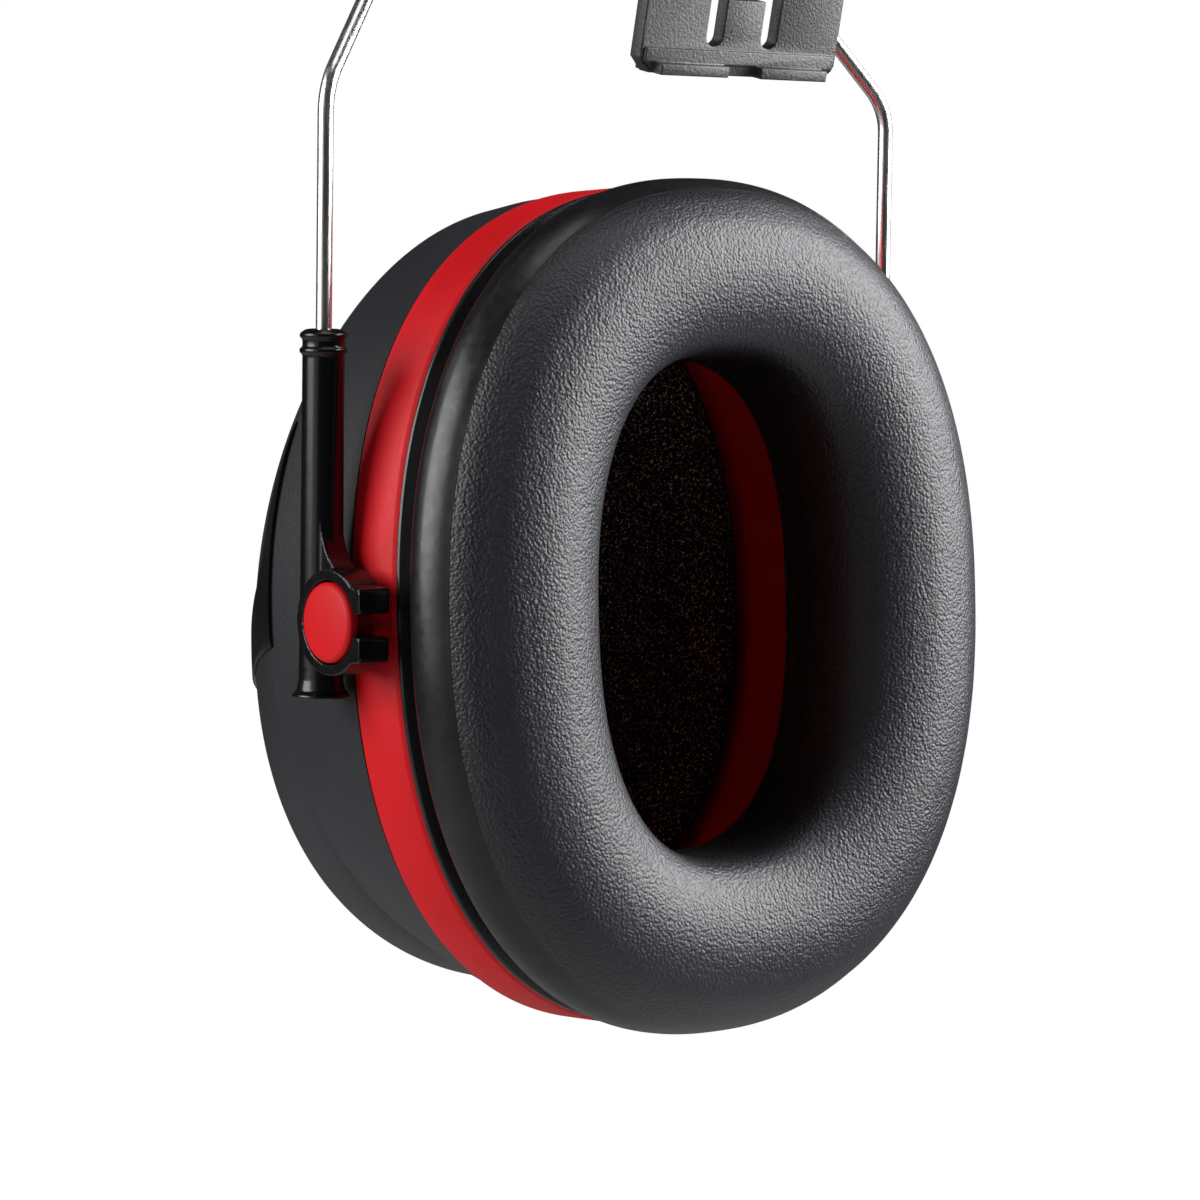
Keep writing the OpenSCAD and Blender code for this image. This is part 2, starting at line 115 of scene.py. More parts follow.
def mesh_object(name, points, faces, place, sharp_degrees=50):
    """A mesh from millimetre points, placed in the row frame, with outward normals."""
    mesh = bpy.data.meshes.new(name)
    mesh.from_pydata((place(points) * MM).tolist(), [], faces)
    bm = bmesh.new()
    bm.from_mesh(mesh)
    bmesh.ops.recalc_face_normals(bm, faces=bm.faces)
    bm.to_mesh(mesh)
    bm.free()
    shade(mesh, sharp_degrees)
    return new_object(name, mesh)


def shade(mesh, sharp_degrees):
    mesh.polygons.foreach_set("use_smooth", [True] * len(mesh.polygons))
    mesh.set_sharp_from_angle(angle=math.radians(sharp_degrees))


def grid_faces(rows, columns, closed_rows):
    """Quads between rows of points, where each row is a closed ring."""
    faces = []
    for j in range(rows if closed_rows else rows - 1):
        a, b = j * columns, (j + 1) % rows * columns
        for i in range(columns):
            k = (i + 1) % columns
            faces.append((a + i, a + k, b + k, b + i))
    return faces


def skin_rings(name, rings, place, closed=False, capped=True, sharp_degrees=50):
    """A skin over rings that all have the same number of points."""
    rings = np.asarray(rings, float)
    rows, columns = rings.shape[:2]
    faces = grid_faces(rows, columns, closed)
    if capped and not closed:
        faces.append(tuple(range(columns)))
        faces.append(tuple((rows - 1) * columns + i for i in range(columns)))
    return mesh_object(name, rings.reshape(-1, 3), faces, place, sharp_degrees)


def signed_power(value, exponent):
    return np.sign(value) * np.abs(value) ** exponent


def oval(half_w, half_h, y, power, rise=0.0, low_h=None, count=256):
    turn = np.linspace(0, 2 * math.pi, count, endpoint=False)
    exponent = 2 / power
    x = half_w * signed_power(np.cos(turn), exponent)
    z = signed_power(np.sin(turn), exponent)
    z = np.where(z < 0, half_h if low_h is None else low_h, half_h) * z + rise
    return np.stack([x, np.full(count, float(y)), z], -1)


def smooth_line(points, spans=6, closed=False):
    """Catmull-Rom curve through points of any dimension."""
    p = np.asarray(points, float)
    n = len(p)
    out = []
    for i in range(n if closed else n - 1):
        if closed:
            a, b, c, d = p[(i - 1) % n], p[i], p[(i + 1) % n], p[(i + 2) % n]
        else:
            a, b, c, d = p[max(i - 1, 0)], p[i], p[i + 1], p[min(i + 2, n - 1)]
        for s in range(spans):
            t = s / spans
            out.append(0.5 * (2 * b + (c - a) * t + (2 * a - 5 * b + 4 * c - d) * t ** 2
                              + (3 * b - a - 3 * c + d) * t ** 3))
    if not closed:
        out.append(p[-1])
    return np.array(out)


def loft(name, profile, closed=False, count=256, sharp_degrees=50, place=in_cup_frame):
    return skin_rings(name, [oval(*p, count=count) for p in profile], place, closed,
                      sharp_degrees=sharp_degrees)


def join(pieces, name):
    """One mesh from several pieces."""
    bm = bmesh.new()
    for piece in pieces:
        bm.from_mesh(piece.data)
        bpy.data.objects.remove(piece)
    mesh = bpy.data.meshes.new(name)
    bm.to_mesh(mesh)
    bm.free()
    return new_object(name, mesh)


def apply_modifiers(piece):
    graph = bpy.context.evaluated_depsgraph_get()
    graph.update()
    mesh = bpy.data.meshes.new_from_object(piece.evaluated_get(graph))
    piece.modifiers.clear()
    piece.data = mesh
    return piece


def fuse(piece, voxel, smoothing, sharp_degrees=50):
    """Moulds overlapping closed pieces into one skin with small fillets. Sizes in millimetres."""
    remesh = piece.modifiers.new("fuse", "REMESH")
    remesh.mode = "VOXEL"
    remesh.voxel_size = voxel * MM
    remesh.use_smooth_shade = True
    soften = piece.modifiers.new("soften", "SMOOTH")
    soften.factor = 0.5
    soften.iterations = smoothing
    apply_modifiers(piece)
    shade(piece.data, sharp_degrees)
    return piece


def mirror_copy(piece, name):
    """The mirror image of a piece in the plane X = 0."""
    mesh = piece.data.copy()
    mesh.transform(Matrix.Scale(-1, 4, (1, 0, 0)))
    mesh.flip_normals()
    return new_object(name, mesh)


def prism(name, outline, low, high, axis, place):
    """An outline of (u, v) points pulled along an axis: X takes (y, z), Y (x, z) and Z (x, y)."""
    points = []
    for level in (low, high):
        for u, v in outline:
            points.append({"X": (level, u, v), "Y": (u, level, v), "Z": (u, v, level)}[axis])
    n = len(outline)
    faces = [tuple(range(n)), tuple(range(n, 2 * n))]
    faces += [(i, (i + 1) % n, n + (i + 1) % n, n + i) for i in range(n)]
    return mesh_object(name, np.array(points), faces, place)


def lathe_rings(profile, axis_point, axis, count=64):
    """Rings about an axis along X or Z, from (radius, level) points."""
    turn = np.linspace(0, 2 * math.pi, count, endpoint=False)
    rings = []
    for radius, level in profile:
        u, v = radius * np.cos(turn), radius * np.sin(turn)
        w = np.full(count, float(level))
        rings.append(np.stack([w, u, v] if axis == "X" else [u, v, w], -1) + axis_point)
    return rings


# ---- materials ----

class Look:
    """A node material with the few calls that the finishes below share."""

    def __init__(self, name):
        self.material = bpy.data.materials.new(name)
        self.material.use_nodes = True
        self.tree = self.material.node_tree
        self.shader = self.tree.nodes["Principled BSDF"]
        self.place = self.node("ShaderNodeTexCoord").outputs["Object"]
        self.height = None

    def node(self, kind, **settings):
        node = self.tree.nodes.new(kind)
        for key, value in settings.items():
            setattr(node, key, value)
        return node

    def link(self, source, target):
        self.tree.links.new(source, target)

    def set(self, **values):
        for key, value in values.items():
            self.shader.inputs[key.replace("_", " ")].default_value = value
        return self

    def noise(self, size, detail=2.0, roughness=0.5, stretch=None):
        """Noise whose features are about size millimetres across."""
        node = self.node("ShaderNodeTexNoise")
        node.inputs["Scale"].default_value = 1 / (size * MM)
        node.inputs["Detail"].default_value = detail
        node.inputs["Roughness"].default_value = roughness
        self.link(self.stretched(stretch), node.inputs["Vector"])
        return node.outputs["Fac"]

    def cup_level(self):
        """Level along the cup's axis, in millimetres, negative towards the head."""
        node = self.node("ShaderNodeVectorMath", operation="DOT_PRODUCT")
        axis = turned_about_x([0, 1, 0], -CUP_LEAN)
        node.inputs[1].default_value = axis / MM
        self.link(self.place, node.inputs[0])
        return self.math("SUBTRACT", node.outputs["Value"], float(PIVOT @ axis))

    def cells(self, size, feature="F1", output="Distance", smoothness=None):
        node = self.node("ShaderNodeTexVoronoi", feature=feature)
        node.inputs["Scale"].default_value = 1 / (size * MM)
        if smoothness is not None:
            node.inputs["Smoothness"].default_value = smoothness
        self.link(self.place, node.inputs["Vector"])
        return node.outputs[output]

    def stretched(self, stretch):
        if stretch is None:
            return self.place
        node = self.node("ShaderNodeMapping")
        node.inputs["Scale"].default_value = stretch
        self.link(self.place, node.inputs["Vector"])
        return node.outputs["Vector"]

    def remap(self, source, low, high, to_low, to_high):
        node = self.node("ShaderNodeMapRange", clamp=True)
        for key, value in zip(("From Min", "From Max", "To Min", "To Max"),
                              (low, high, to_low, to_high)):
            node.inputs[key].default_value = value
        self.link(source, node.inputs["Value"])
        return node.outputs["Result"]

    def math(self, operation, a, b):
        node = self.node("ShaderNodeMath", operation=operation)
        for socket, value in zip(node.inputs, (a, b)):
            if isinstance(value, (int, float)):
                socket.default_value = value
            else:
                self.link(value, socket)
        return node.outputs["Value"]

    def bump(self, source, depth, strength=1.0):
        """Adds relief of about depth millimetres to what is there already."""
        node = self.node("ShaderNodeBump")
        node.inputs["Distance"].default_value = depth * MM
        node.inputs["Strength"].default_value = strength
        self.link(source, node.inputs["Height"])
        if self.height is not None:
            self.link(self.height, node.inputs["Normal"])
        self.height = node.outputs["Normal"]
        self.link(self.height, self.shader.inputs["Normal"])
        return self

    def tint(self, source, low, high):
        """Colour that runs between two colours as source goes from 0 to 1."""
        node = self.node("ShaderNodeMix", data_type="RGBA")
        self.link(source, node.inputs["Factor"])
        rgba = [s for s in node.inputs if s.type == "RGBA"]
        rgba[0].default_value = (*low, 1)
        rgba[1].default_value = (*high, 1)
        self.link([s for s in node.outputs if s.type == "RGBA"][0], self.shader.inputs["Base Color"])
        return self

    def roughen(self, source, low, high):
        self.link(self.remap(source, 0.3, 0.7, low, high), self.shader.inputs["Roughness"])
        return self


def grained_plastic(name, colour, grain, depth, rough):
    look = Look(name)
    speckle = look.noise(grain, 3, 0.6)
    broad = look.noise(14, 2)
    look.tint(look.remap(broad, 0.3, 0.7, 0, 1), [0.9 * c for c in colour], [1.1 * c for c in colour])
    look.roughen(speckle, rough - 0.06, rough + 0.08)
    look.bump(speckle, depth)
    return look.material


def gloss_plastic(name, colour, rough):
    look = Look(name)
    wave = look.noise(9, 2)
    look.tint(look.remap(wave, 0.3, 0.7, 0, 1), colour, [1.4 * c for c in colour])
    look.roughen(look.noise(1.2, 4, 0.65), rough, rough + 0.06)
    look.bump(wave, 0.03).bump(look.noise(0.8, 3), 0.002)
    return look.material


def red_plastic():
    look = Look("red_plastic")
    broad = look.noise(11, 2)
    look.tint(look.remap(broad, 0.3, 0.7, 0, 1), (0.62, 0.003, 0.007), (0.7, 0.004, 0.01))
    look.set(Subsurface_Weight=0.08, Subsurface_Scale=0.001, Subsurface_Radius=(1.0, 0.15, 0.1))
    look.set(Specular_IOR_Level=0.28)
    look.roughen(look.noise(0.5, 4, 0.6), 0.45, 0.58)
    look.bump(look.noise(0.35, 3), 0.006)
    return look.material


def skirt_foil():
    look = Look("skirt_foil")
    wave = look.noise(7, 3)
    look.tint(look.remap(wave, 0.3, 0.7, 0, 1), (0.004, 0.004, 0.005), (0.008, 0.008, 0.009))
    look.roughen(look.noise(1.5, 3), 0.26, 0.36)
    look.bump(wave, 0.12).bump(look.noise(0.5, 3), 0.004)
    return look.material


def grained_foil():
    look = Look("grained_foil")
    pebbles = look.cells(0.43, "SMOOTH_F1", smoothness=0.25)
    warp = look.noise(0.41, 3, 0.6)
    grain = look.math("ADD", look.math("MULTIPLY", pebbles, -0.9), look.math("MULTIPLY", warp, 1.1))
    # Painted shade: the foil's colour falls to 0.15 of itself towards the cup, over the inner wall of the
    # opening and the outer slope down to the seam; the noise adds random tone.
    painted_shade_toward_cup = look.remap(look.cup_level(), CUSHION_BASE - 14, CUSHION_BASE - 9, 1, 0.15)
    tone_and_painted_shade = look.math("MULTIPLY", look.remap(look.noise(12, 3), 0.3, 0.7, 0.8, 1), painted_shade_toward_cup)
    look.tint(tone_and_painted_shade, (0.001, 0.001, 0.0015), (0.0255, 0.0262, 0.033))
    look.roughen(warp, 0.32, 0.45)
    look.bump(look.noise(5, 2), 0.03).bump(grain, 0.1)
    return look.material


def open_cell_foam():
    look = Look("open_cell_foam")
    pores = look.cells(0.55)
    # Painted glints: sparse near-white specks in the black foam's colour stand in for highlights on its
    # cells.
    painted_glints = look.remap(look.noise(0.32, 1, 0.7), 0.6, 0.66, 0, 1)
    look.tint(painted_glints, (0.005, 0.005, 0.0045), (1.0, 1.0, 0.85))
    look.set(Roughness=0.9)
    look.bump(pores, 0.4).bump(look.noise(1.3, 3), 0.3)
    return look.material


def drawn_steel(name, colour, rough, stretch):
    look = Look(name)
    streaks = look.noise(0.4, 3, 0.6, stretch)
    look.tint(look.remap(look.noise(6, 3), 0.3, 0.7, 0, 1), [0.88 * c for c in colour], colour)
    look.set(Metallic=1.0)
    look.roughen(streaks, rough - 0.05, rough + 0.1)
    look.bump(streaks, 0.012)
    return look.material


def soft_rubber(name, colour, grain):
    look = Look(name)
    speckle = look.noise(grain, 4, 0.6)
    look.tint(look.remap(speckle, 0.3, 0.7, 0, 1), [0.8 * c for c in colour], [1.2 * c for c in colour])
    look.set(Roughness=0.7)
    look.bump(speckle, grain * 0.2)
    return look.material


STEEL = (0.9, 0.88, 0.86)
LOOKS = {
    "helmet_blade": grained_plastic("blade_plastic", (0.031, 0.032, 0.036), 0.35, 0.09, 0.42),
    "arm_body": grained_plastic("arm_plastic", (0.046, 0.047, 0.052), 0.4, 0.05, 0.45),
    "arm_cover": grained_plastic("cover_plastic", (0.042, 0.042, 0.047), 0.4, 0.05, 0.42),
    "cover_screws": drawn_steel("zinc_steel", (0.6, 0.6, 0.62), 0.3, (1, 1, 1)),
    "leaf_spring": drawn_steel("rolled_steel", (0.62, 0.63, 0.65), 0.25, (1, 0.08, 1)),
    "wire_yoke": drawn_steel("drawn_wire", STEEL, 0.24, (1, 1, 0.06)),
    "hinge_cam": gloss_plastic("cam_plastic", (0.02, 0.02, 0.021), 0.3),
    "leg_end_stops": drawn_steel("pressed_steel", STEEL, 0.3, (1, 1, 1)),
    "sleeve": gloss_plastic("sleeve_plastic", (0.003, 0.003, 0.0035), 0.2),
    "outer_casing": grained_plastic("casing_plastic", (0.018, 0.0185, 0.022), 0.3, 0.05, 0.42),
    "side_inlays": gloss_plastic("inlay_plastic", (0.007, 0.007, 0.008), 0.05),
    "casing_seal": soft_rubber("seal_rubber", (0.008, 0.008, 0.008), 0.5),
    "damping_layer": soft_rubber("damping_foam", (0.09, 0.09, 0.08), 1.2),
    "inner_casing": red_plastic(),
    "liner_foam": open_cell_foam(),
    "cushion_plate": gloss_plastic("plate_plastic", (0.011, 0.011, 0.012), 0.25),
    "cushion_foam": soft_rubber("cushion_foam_look", (0.55, 0.47, 0.3), 1.0),
    "cushion_fluid_pad": soft_rubber("fluid_pouch_look", (0.2, 0.34, 0.38), 3.0),
    "cushion_skirt": skirt_foil(),
    "cushion_face": grained_foil(),
}


def dress(piece, look):
    piece.data.materials.clear()
    piece.data.materials.append(LOOKS[look])


def finish_piece(piece, body, look, node):
    """Gives a new piece its material and its body, and hides the CAD node that it stands for."""
    dress(piece, look)
    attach(piece, body)
    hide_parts(node)
    return piece


# ---- outer casing, wedges and seal ----

def dome_size(f):
    return (1 - f ** DOME_FALL) ** DOME_SIZE_POWER


def dome_level(f, z, inset=0.0):
    return CREASE_Y + (CASING_BACK - inset - CREASE_Y) * f - CREASE_BOW * z * z * (1 - f)


def dome_ring(f, inset=0.0):
    """Ring of the dome at a fraction of its depth behind the crease."""
    size = dome_size(f)
    ring = oval((CREASE_W - inset) * size, (CREASE_H - inset) * size, 0, DOME_POWER, 0.0,
                (CREASE_LOW_H - inset) * size)
    ring[:, 1] = dome_level(f, ring[:, 2], inset)
    ring[:, 2] -= CASING_SAG * f
    return ring


def casing_rings(inset):
    """Rings from the band over the crease to the back of the dome."""
    rim = oval(BAND_W - 0.3 - inset, BAND_H - 0.3 - inset, BAND_BACK + SEAL_T, BAND_POWER)
    crease = dome_ring(0.0, inset)
    middle = (rim + crease) / 2 + (crease - crease.mean(0)) * 0.004
    edge = rim * 0.012 + crease * 0.988
    levels = (np.linspace(0.0, 1, 44) ** 1.35) * 0.985
    return [rim, middle, edge] + [dome_ring(f, inset) for f in levels]


def build_outer_casing():
    outside = casing_rings(0)
    rounded = outside[0] * 0.992 + outside[1] * 0.008
    rounded[:, [0, 2]] *= 0.998
    rings = casing_rings(CASING_T)[::-1] + [rounded] + outside[1:]
    piece = skin_rings("casing_shell", rings, in_cup_frame, sharp_degrees=24)
    return finish_piece(piece, "cup", "outer_casing", "outer_casing")


# Wedge let into each flank: depth fraction, lower edge and upper edge
WEDGE = [(0.0, -4.0, 25.0), (0.03, -4.3, 19.0), (0.06, -4.6, 13.0), (0.085, -4.9, 8.0), (0.13, -5.4, 5.0),
         (0.2, -6.2, 2.5), (0.35, -8.5, -2.5), (0.5, -10.2, -7.0), (0.6, -11.2, -10.4)]


WEDGE_LIFT, WEDGE_EDGE_LIFT, WEDGE_BED = 0.5, 0.3, 0.02


def flank_points(f, z, lift):
    """Points of the +X flank at a depth fraction and heights z, lifted off the dome."""
    ring_z = z + CASING_SAG * f
    half_h = (np.where(ring_z < 0, CREASE_LOW_H, CREASE_H) + lift) * dome_size(f)
    reach = 1 - np.abs(ring_z / half_h) ** DOME_POWER
    x = (CREASE_W + lift) * dome_size(f) * reach ** (1 / DOME_POWER)
    return np.stack([x, dome_level(f, ring_z, -lift), z], -1)


def build_wedges():
    sections = []
    for f, low, high in smooth_line(WEDGE, 8):
        heights = np.linspace(low, high, 24)
        top = flank_points(f, heights, WEDGE_LIFT)
        top[[0, -1]] = flank_points(f, heights[[0, -1]], WEDGE_EDGE_LIFT)
        under = flank_points(f, heights[::-1], WEDGE_BED)
        sections.append(np.concatenate([top, under]))
    right = skin_rings("wedge", sections, in_cup_frame, sharp_degrees=40)
    left = mirror_copy(right, "wedge_left")
    piece = join([right, left], "gloss_wedges")
    shade(piece.data, 40)
    return finish_piece(piece, "cup", "side_inlays", "side_inlays")


def build_seal():
    w, h, width = BAND_W - 0.7, BAND_H - 0.7, 2.3
    back = BAND_BACK + SEAL_T
    profile = [(w, h, BAND_BACK, BAND_POWER), (w, h, back, BAND_POWER),
               (w - width, h - width, back, BAND_POWER), (w - width, h - width, BAND_BACK, BAND_POWER)]
    piece = loft("seal_ring", profile, closed=True)
    return finish_piece(piece, "cup", "casing_seal", "casing_seal")


# ---- inner casing with the red band and studs ----

def build_inner_casing():
    outer = [(BAND_W - 0.45, BAND_H - 0.45, BAND_FRONT, BAND_POWER),
             (BAND_W - 0.4, BAND_H - 0.4, BAND_FRONT + 0.05, BAND_POWER),
             (BAND_W - 0.06, BAND_H - 0.06, BAND_FRONT + 0.5, BAND_POWER),
             (BAND_W, BAND_H, BAND_FRONT + 0.62, BAND_POWER),
             (BAND_W, BAND_H, BAND_BACK - 0.15, BAND_POWER),
             (BAND_W - 0.15, BAND_H - 0.15, BAND_BACK, BAND_POWER),
             (40.9, 49.9, BAND_BACK, BAND_POWER)]
    bowl_out = smooth_line([(38.8, 47.5, 16, 2.3, 0), (37, 45.5, 26, 2.25, -0.8),
                            (33.5, 41.6, 32, 2.2, -2.5), (27, 35, 34, 2.2, -3)], 6)
    bowl_in = smooth_line([(26, 34, 32, 2.2, -3), (32.2, 40.3, 30.4, 2.2, -2.5),
                           (35.3, 43.8, 26, 2.25, -0.8), (37.2, 46, 18, 2.3, 0),
                           (39, 48, BAND_FRONT, BAND_POWER, 0)], 6)
    bowl = loft("bowl", list(bowl_in) + outer + list(bowl_out))
    studs = []
    for side in (-1, 1):
        neck = [(STUD_R, 42.0), (STUD_R, 50.0)]
        head = [(4.85, 50.0), (5.0, 50.12), (5.0, 50.95), (4.9, 51.15), (4.55, 51.42),
                (4.3, 51.5), (0.4, 51.5)]
        profile = [(r, side * level) for r, level in neck + head]
        rings = lathe_rings(profile, np.zeros(3), "X", 96)
        studs.append(skin_rings("stud", rings, in_cup_frame))
    piece = join([bowl] + studs, "red_casing")
    shade(piece.data, 40)
    return finish_piece(piece, "cup", "inner_casing", "inner_casing")


def build_liner():
    front = smooth_line([(3, 4, 24.4, 2.1), (14, 20, 25.2, 2.1), (24, 33, 26.2, 2.2),
                         (30, 39, 25.6, 2.2), (32, 41, 21.2, 2.25), (34.4, 43.4, 21, 2.25)], 10)
    back = [(35.1, 44.1, 21.6, 2.25, 0), (34.6, 43.1, 26, 2.2, -0.8), (31.4, 39.5, 30.1, 2.2, -2.5),
            (24.5, 32.5, 31.7, 2.2, -3), (3, 4, 31.7, 2.1, -3)]
    piece = loft("foam_liner", list(front) + back, count=320)
    return finish_piece(piece, "cup", "liner_foam", "liner_foam")


# ---- cushion ----

def build_plate():
    w, h = BAND_W - 0.25, BAND_H - 0.25
    y0, y1 = BAND_FRONT - PLATE_T, BAND_FRONT
    profile = [(w, h, y0 + 0.2, BAND_POWER), (w, h, y1 - 0.15, BAND_POWER),
               (w - 0.25, h - 0.25, y1, BAND_POWER), (OPENING_W, OPENING_H, y1, OPENING_POWER),
               (OPENING_W, OPENING_H, y0, OPENING_POWER), (w - 0.2, h - 0.2, y0, BAND_POWER)]
    piece = loft("plate_ring", profile, closed=True)
    return finish_piece(piece, "cup", "cushion_plate", "cushion_plate")


def cushion_y(fraction):
    return CUSHION_BASE - CUSHION_DEPTH * fraction


SKIRT = [(5.0, 4.6, 0.0, 2.29), (4.6, 4.2, 0.09, 2.29), (3.0, 2.8, 0.155, 2.28), (1.1, 1.1, 0.215, 2.27),
         (0.3, 0.3, 0.29, 2.26), (0.0, 0.0, 0.385, 2.25), (0.45, 0.4, 0.5, 2.25), (1.6, 1.5, 0.63, 2.25)]
CROWN = [(1.8, 1.7, 0.66, 2.25), (2.9, 2.7, 0.757, 2.26), (4.1, 3.8, 0.838, 2.27),
         (5.5, 5.1, 0.912, 2.27), (7.3, 6.7, 0.963, 2.28), (9.6, 8.8, 0.992, 2.29),
         (12.0, 10.9, 1.0, 2.29), (14.4, 13.0, 1.0, 2.3)]
INNER_WALL = [(16.8, 15.0, 0.988, 2.34), (19.4, 17.5, 0.955, 2.39), (21.6, 19.7, 0.9, 2.44),
              (23.3, 21.4, 0.82, 2.48), (24.3, 22.4, 0.7, 2.5), (24.8, 22.8, 0.5, 2.5),
              (25.0, 23.0, 0.25, 2.5), (25.0, 23.0, 0.0, 2.5)]
COVER_T = 0.7
SEAM_GROOVE = 0.22
SWELL_CAP = 0.8
SIM_SCALE = 10.0
SIM_FRAMES = 20
RIPPLE_REACH = 5


def cushion_rings():
    """Rings from the base over skirt, crown and inner wall, with the index of the seam."""
    profile = [(CUSHION_W - a, CUSHION_H - b, cushion_y(f), p)
               for a, b, f, p in SKIRT + CROWN + INNER_WALL]
    line = smooth_line(profile, 2)
    return [oval(*p, count=96) for p in line], 2 * len(SKIRT) - 1


def evened(move):
    """The swelling with the fine ripples round each ring averaged out, as a foam-backed foil has none."""
    reach = range(-RIPPLE_REACH, RIPPLE_REACH + 1)
    return sum(np.roll(move, k, axis=1) for k in reach) / len(reach)


def swollen(rings, seam):
    """The rings after the cover is blown up by its filling, held at its base and its seam."""
    rows, columns = len(rings), len(rings[0])
    piece = skin_rings("cover", rings, lambda p: p * SIM_SCALE, closed=True)
    held = piece.vertex_groups.new(name="held")
    fixed_rows = [0, 1, seam, rows - 2, rows - 1]
    held.add([j * columns + i for j in fixed_rows for i in range(columns)], 1.0, "REPLACE")
    cloth = piece.modifiers.new("cloth", "CLOTH")
    settings = cloth.settings
    settings.quality = 5
    settings.mass = 0.05
    settings.use_pressure = True
    settings.uniform_pressure_force = 6
    settings.tension_stiffness = 12
    settings.compression_stiffness = 12
    settings.bending_stiffness = 1.5
    settings.vertex_group_mass = "held"
    settings.effector_weights.gravity = 0
    cloth.point_cache.frame_start = 1
    cloth.point_cache.frame_end = SIM_FRAMES
    for frame_number in range(1, SIM_FRAMES + 1):
        bpy.context.scene.frame_set(frame_number)
    apply_modifiers(piece)
    bpy.context.scene.frame_set(1)
    points = np.array([v.co[:] for v in piece.data.vertices]) / (SIM_SCALE * MM)
    bpy.data.objects.remove(piece)
    start = np.concatenate(rings)
    move = evened((points - start).reshape(rows, columns, 3)).reshape(-1, 3)
    length = np.linalg.norm(move, axis=1, keepdims=True)
    move *= np.minimum(1.0, SWELL_CAP / np.maximum(length, 1e-9))
    return (start + move).reshape(rows, columns, 3)


def finer(rings, spans):
    """More rings and more points round each ring, on smooth curves through the given ones."""
    along = smooth_line(np.asarray(rings), spans)
    return smooth_line(along.transpose(1, 0, 2), 3, closed=True).transpose(1, 0, 2)


def cover_shell(name, outer, sharp_degrees=70):
    """A closed shell: the outer rings, and the same rings moved in by the cover's thickness."""
    middle = oval(CUSHION_W - 13.5, CUSHION_H - 12, cushion_y(0.42), 2.3, count=outer.shape[1])
    pull = middle[None] - outer
    inner = outer + pull / np.linalg.norm(pull, axis=2, keepdims=True) * COVER_T
    rings = np.concatenate([outer, inner[::-1]])
    return skin_rings(name, rings, in_cup_frame, closed=True, sharp_degrees=sharp_degrees)


def build_cushion():
    rings, seam = cushion_rings()
    rings = swollen(rings, seam)
    skirt_rings, face_rings = finer(rings[:seam + 1], 5), finer(rings[seam:], 5)
    tuck = 1 - SEAM_GROOVE / 45
    skirt_rings[-1][:, [0, 2]] *= tuck
    face_rings[0][:, [0, 2]] *= tuck
    skirt = cover_shell("cushion_skirt_skin", skirt_rings)
    face = cover_shell("cushion_face_skin", face_rings)
    finish_piece(skirt, "cup", "cushion_skirt", "cushion_skirt")
    finish_piece(face, "cup", "cushion_face", "cushion_face")


# ---- wire yoke ----

def unit(v):
    return v / np.linalg.norm(v)


def rounded_path(corners, radii, steps=14):
    """Straight runs joined by round bends."""
    out = [corners[0]]
    for before, corner, after, radius in zip(corners, corners[1:], corners[2:], radii):
        d_in, d_out = unit(corner - before), unit(after - corner)
        turn = math.acos(float(d_in @ d_out))
        side = (d_out - (d_in @ d_out) * d_in) / math.sin(turn)
        centre = corner - radius * math.tan(turn / 2) * d_in + radius * side
        for k in range(steps + 1):
            a = turn * k / steps
            out.append(centre - radius * math.cos(a) * side + radius * math.sin(a) * d_in)
    out.append(corners[-1])
    return np.array(out)


def build_wire():
    half = [np.array([LEG_X, 0, -7.4]), np.array([LEG_X, 0, BEND_Z]), np.array([BAR_X, HINGE_Y, HINGE_Z])]
    flip = np.array([-1.0, 1, 1])
    corners = half + [corner * flip for corner in half[::-1]]
    path = rounded_path(corners, [9, 4, 4, 9])
    rings = []
    turn = np.linspace(0, 2 * math.pi, 32, endpoint=False)
    for i, point in enumerate(path):
        along = unit(path[min(i + 1, len(path) - 1)] - path[max(i - 1, 0)])
        out = unit(np.cross(along, [0, 1, 0]))
        up = np.cross(out, along)
        rings.append(point + WIRE_R * (np.cos(turn)[:, None] * out + np.sin(turn)[:, None] * up))
    piece = skin_rings("yoke_wire", rings, in_legs_frame)
    return finish_piece(piece, "yoke", "wire_yoke", "wire_yoke")


# ---- sleeves ----

def arc(radius, start, end, count, centre=(0.0, 0.0)):
    angles = np.radians(np.linspace(start, end, count))
    return [(centre[0] + radius * math.cos(a), centre[1] + radius * math.sin(a)) for a in angles]


def clip_section(radius, hole, jaw):
    """A C-shaped outline round the stud, open towards the head, with (y, z) points."""
    tip = math.degrees(math.asin(jaw / radius))
    root = math.degrees(math.asin(jaw / hole))
    reach = radius * math.cos(math.radians(tip)) - 0.2
    outer = arc(radius, 225, 495, 64)
    upper = [(-reach, radius - 2.0), (-reach - 0.3, radius - 2.6), (-reach - 0.3, jaw + 0.4), (-reach, jaw)]
    lower = [(u, -v) for u, v in upper[::-1]]
    outline = outer + upper + arc(hole, 180 - root, -180 + root, 56) + lower
    return [(PIVOT_Y + u, v) for u, v in outline]


